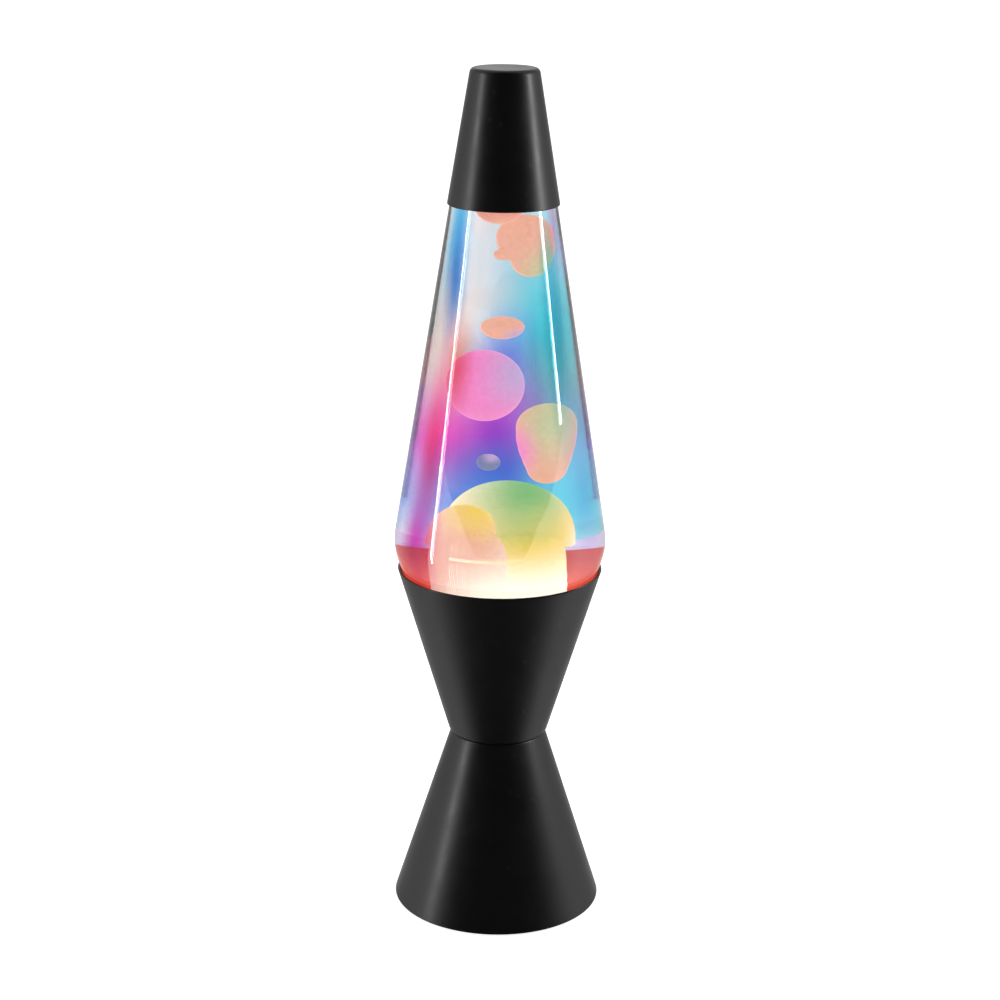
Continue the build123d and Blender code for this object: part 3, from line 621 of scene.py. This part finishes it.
def mound(name, centre, radii, widest, top, lean=(0.0, 0.0), flare=1.25, ripple=0.3, seed=0.0):
    """A column of wax with a domed top that leans by (x, y) mm. Its foot flares forwards to the glass."""
    rows = []
    steps_up, steps_side, around = 48, 40, 180
    levels = [(WAX_FLOOR_Z + (widest - WAX_FLOOR_Z) * k / steps_side, 1.0) for k in range(steps_side)]
    for k in range(steps_up):
        t = math.pi / 2 * k / steps_up
        levels.append((widest + (top - widest) * math.sin(t), math.cos(t)))
    for z, share in levels:
        rise = max(0.0, (z - widest) / (top - widest))
        spill = min(1.0, max(0.0, (SPILL_Z - z) / SPILL_DEPTH))
        spill = spill * spill * (3 - 2 * spill)
        row = []
        for k in range(around):
            a = 2 * math.pi * k / around
            wave = noise.noise(Vector((math.cos(a) * 1.3 + seed, math.sin(a) * 1.3, z * 0.035)))
            grown = share * (1 + wave * ripple * 0.1)
            front = spill * max(0.0, -math.sin(a)) ** 0.5
            x = centre[0] + lean[0] * rise + radii[0] * grown * math.cos(a) * (1 + (flare - 1) * front)
            y = centre[1] + lean[1] * rise + radii[1] * grown * math.sin(a) - SPILL_REACH * front
            limit = bore_r(z) - FILM_GAP
            r = math.hypot(x, y)
            if r > limit:
                x, y = x * limit / r, y * limit / r
            row.append((x, y, z))
        rows.append(row)
    return grid_mesh(name, rows)


def pool_top(x, y):
    """Height of the pool's surface, which is banked up towards the front."""
    return POOL_LEVEL + POOL_SLOPE * y


def pool(name):
    """The wax that lies in the globe's foot, out to the glass."""
    around, up, inwards = 240, 30, 30
    walls, tops = [[] for _ in range(up)], [[] for _ in range(inwards)]
    for k in range(around):
        a = 2 * math.pi * k / around
        z = POOL_LEVEL
        for _ in range(6):
            r = bore_r(z) - POOL_GAP
            z = pool_top(r * math.cos(a), r * math.sin(a))
        for j in range(up):
            level = WAX_FLOOR_Z + (z - WAX_FLOOR_Z) * j / up
            r = bore_r(level) - POOL_GAP
            walls[j].append((r * math.cos(a), r * math.sin(a), level))
        rim = bore_r(z) - POOL_GAP
        for j in range(inwards):
            r = rim * (1 - j / inwards)
            x, y = r * math.cos(a), r * math.sin(a)
            tops[j].append((x, y, pool_top(x, y) + 0.5 * noise.noise(Vector((x, y, 0)) * 0.08) * (j > 0)))
    return grid_mesh(name, walls + tops)


# Ellipsoids that grow together into a piece: centre and radii in mm
BALL = [((-6.1, -15.0, 238.9), (14.3, 13.4, 14.9))]
PEAR_SLICES = [(217.6, 10.3), (213.5, 10.1), (209.2, 9.4), (204.5, 8.3), (199.6, 6.9)]  # height and radius
PEAR = [((14.6, 0, z), (r, r * 0.9, r)) for z, r in PEAR_SLICES]
DISC = [((0, 12, 257.7), (6.0, 5.6, 4.8))]
BEAD = [((-3.2, 24, 196.3), (3.1, 2.9, 3.8))]
CLOUD = [
    ((6.6, 2, 297.5), (8.8, 8.2, 10.0)), ((8.4, 2, 293), (7.4, 7.4, 9.5)), ((8.6, 1, 288.9), (6.4, 6.2, 7.4)),
    ((-0.6, -3.0, 291.6), (2.6, 2.4, 2.4)), ((1.6, -1.6, 292.2), (3.4, 3.2, 3.0)),
]
TOP = [((-1.5, -6, 312.2), (8.4, 8.2, 7.4))]

new_piece("wax_ball_lump", blob("wax_ball_lump", BALL), waxes["wax_ball"], "ball", "wax_ball",
          slot="wax_pink")
new_piece("wax_pear_lump", blob("wax_pear_lump", PEAR, relax=25), waxes["wax_pear"], "pear", "wax_pear",
          slot="wax_green")
new_piece("wax_disc_lump", blob("wax_disc_lump", DISC, 0.4), waxes["wax_disc"], "disc", "wax_disc",
          slot="wax_peach")
new_piece("wax_bead_lump", blob("wax_bead_lump", BEAD, 0.3), waxes["wax_bead"], "bead", "wax_bead",
          slot="wax_green")
new_piece("wax_cloud_lump", blob("wax_cloud_lump", CLOUD, 0.5, 12), waxes["wax_cloud"], "cloud", "wax_cloud",
          "wax_satellite", slot="wax_peach")
new_piece("wax_top_lump", blob("wax_top_lump", TOP), waxes["top_wax"], "globe", "top_wax", slot="wax_peach")

new_piece("wax_pool_bed", pool("wax_pool_bed"), wax_red, "globe", "wax_pool", slot="wax_red")
new_piece("wax_mound_lump",
          mound("wax_mound_lump", (2.6, -4.0), (21.8, 23.0), 168.0, 194.4, (-0.6, 2.0), 1.34, seed=3.0),
          waxes["wax_mound"], "globe", "wax_mound", slot="wax_yellow")
new_piece("wax_lobe_lump",
          mound("wax_lobe_lump", (-13.2, -25.0), (16.6, 15.5), 168.0, 189.2, (0.0, 2.0), 1.0, seed=9.0),
          waxes["wax_lobe"], "globe", "wax_lobe", slot="wax_peach")

# ---- Stage ---------------------------------------------------------------------------------------

FLOOR_SIZE = 12
FLOOR_GLOW = 0.9
bpy.ops.mesh.primitive_plane_add(size=FLOOR_SIZE, location=(0, 0, 0))
floor = bpy.context.object
floor.name = "floor"
g = Graph("pale_floor")
g.set(Base_Color=g.mix(g.noise(3.0), (0.9, 0.9, 0.9), (0.93, 0.93, 0.93)), Roughness=0.9,
      Emission_Color=WHITE, Emission_Strength=FLOOR_GLOW)
floor.data.materials.append(g.material)
floor.visible_glossy = False

scene = bpy.context.scene
scene.view_settings.view_transform = "Standard"

EYE = (0.0, -0.942, 0.4672)
PITCH, ROLL = 0.2918, 0.0109  # radians below level, and the photographer's slight tilt
camera = bpy.data.cameras.new("camera")
camera.lens = 82.41
camera.sensor_width = 36.0
camera.shift_x = -0.0004
camera.clip_start = 0.05
eye = bpy.data.objects.new("camera", camera)
scene.collection.objects.link(eye)
eye.matrix_world = (Matrix.Translation(EYE)
                    @ Matrix.Rotation(math.pi / 2 - PITCH, 4, "X") @ Matrix.Rotation(ROLL, 4, "Z"))
scene.camera = eye

BACKDROP = 1.02
ROOM = [  # share of the way round from the front to the back, and brightness there
    (0.0, 0.0), (0.3, 0.01), (0.42, 0.35), (0.53, 1.0), (0.64, 0.6), (0.8, 0.35), (1.0, 0.9),
]


def studio():
    """White seen straight or through the glass; in reflections, a room with bright sides and a dark front."""
    world = bpy.data.worlds.new("studio")
    scene.world = world
    world.use_nodes = True
    tree = world.node_tree
    tree.nodes.clear()

    def add(kind, *sources):
        node = tree.nodes.new(f"ShaderNode{kind}")
        for source, socket in zip(sources, node.inputs):
            if isinstance(source, bpy.types.NodeSocket):
                tree.links.new(source, socket)
            else:
                socket.default_value = source
        return node

    def calculate(operation, *sources):
        node = add("Math", *sources)
        node.operation = operation
        return node.outputs[0]

    plain = add("Background", (1, 1, 1, 1), BACKDROP)
    path = add("LightPath").outputs
    straight = calculate("LESS_THAN", path["Glossy Depth"], 0.5)
    through = calculate("MULTIPLY", path["Is Transmission Ray"], straight)
    seen = calculate("MAXIMUM", path["Is Camera Ray"], through)
    look = add("SeparateXYZ", add("TexCoord").outputs["Generated"]).outputs
    side = calculate("ABSOLUTE", look[0])
    ahead = calculate("MULTIPLY", look[1], -1.0)
    share = calculate("DIVIDE", calculate("ARCTAN2", side, ahead), math.pi)
    ramp = add("ValToRGB", share)
    while len(ramp.color_ramp.elements) < len(ROOM):
        ramp.color_ramp.elements.new(0.5)
    for point, (at, grey) in zip(ramp.color_ramp.elements, ROOM):
        point.position = at
        point.color = (grey, grey, grey, 1)
    room = add("Background", ramp.outputs[0], 1.0)
    which = add("MixShader", seen, room.outputs[0], plain.outputs[0])
    add("OutputWorld", which.outputs[0])


studio()


def strip(name, place, target, width, height, power):
    """A tall soft light at a place, turned to a target."""
    light = bpy.data.lights.new(name, "AREA")
    light.shape = "RECTANGLE"
    light.size = width
    light.size_y = height
    light.energy = power
    lamp = bpy.data.objects.new(name, light)
    scene.collection.objects.link(lamp)
    lamp.location = place
    lamp.rotation_mode = "QUATERNION"
    lamp.rotation_quaternion = (Vector(target) - Vector(place)).to_track_quat("-Z", "Y")


strip("strip_left", (-0.77, -0.19, 0.29), (0, 0, 0.29), 0.03, 0.8, 2.2)
strip("strip_right", (0.79, -0.08, 0.45), (0, 0, 0.35), 0.04, 0.5, 2.2)
